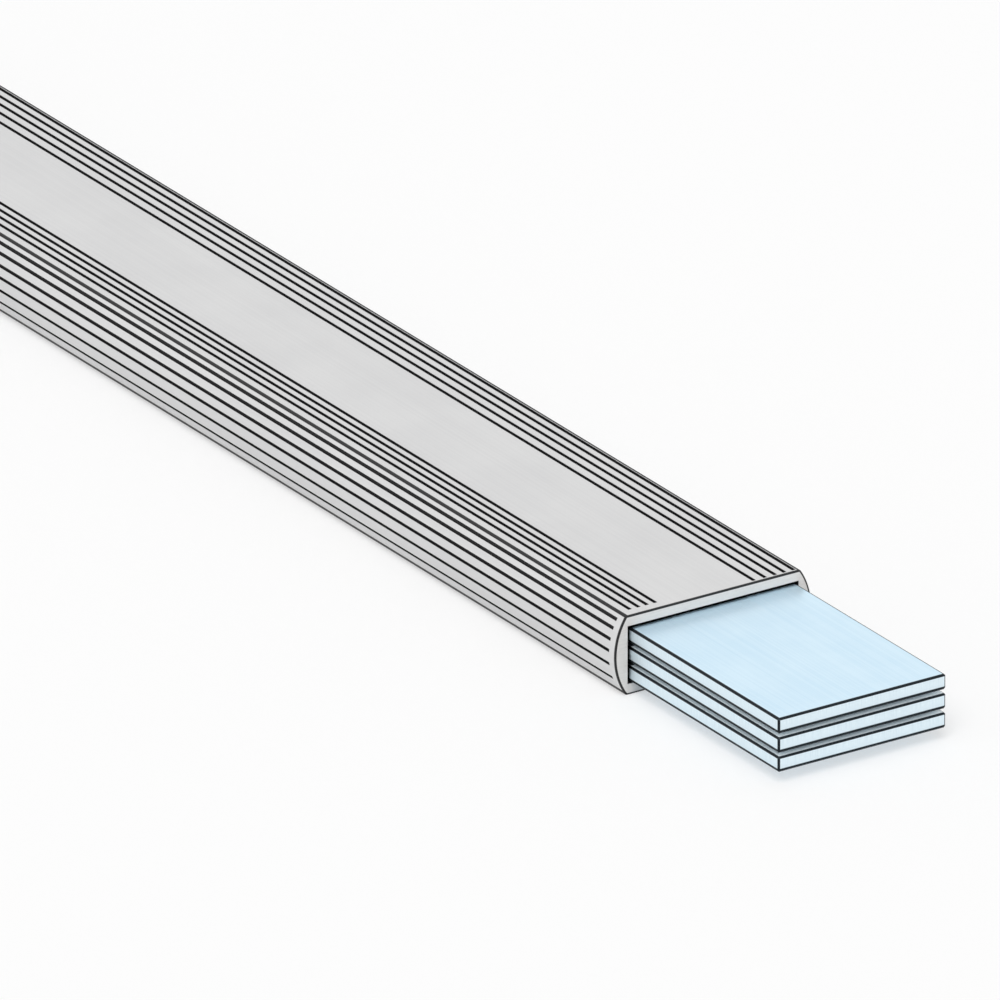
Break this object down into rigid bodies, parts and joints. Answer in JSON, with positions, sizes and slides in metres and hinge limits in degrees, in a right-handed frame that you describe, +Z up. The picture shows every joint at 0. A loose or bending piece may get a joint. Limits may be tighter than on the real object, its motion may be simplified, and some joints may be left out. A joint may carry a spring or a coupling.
{
  "type": "insulated flexible busbar",
  "caption": "Straight flat flexible busbar: copper laminations in an extruded, grooved insulating sheath with bulging sides, one end stripped.",
  "frame": {"origin": "middle of the bar's length and width, on the level surface that its lower flat lies on", "axes": "+X along the bar towards its stripped end, +Y across its width, +Z up, square to its flats"},
  "size_m": [1.8, 0.0282, 0.0103],
  "materials": {
    "insulation": "matt light grey extruded plastic",
    "conductor": "bright pale metal, as of tinned copper strip"
  },
  "bodies": {
    "root": {"insulating_sheath": "insulation", "lamination_bottom": "conductor", "lamination_middle": "conductor", "lamination_top": "conductor"}
  },
  "joints": []
}
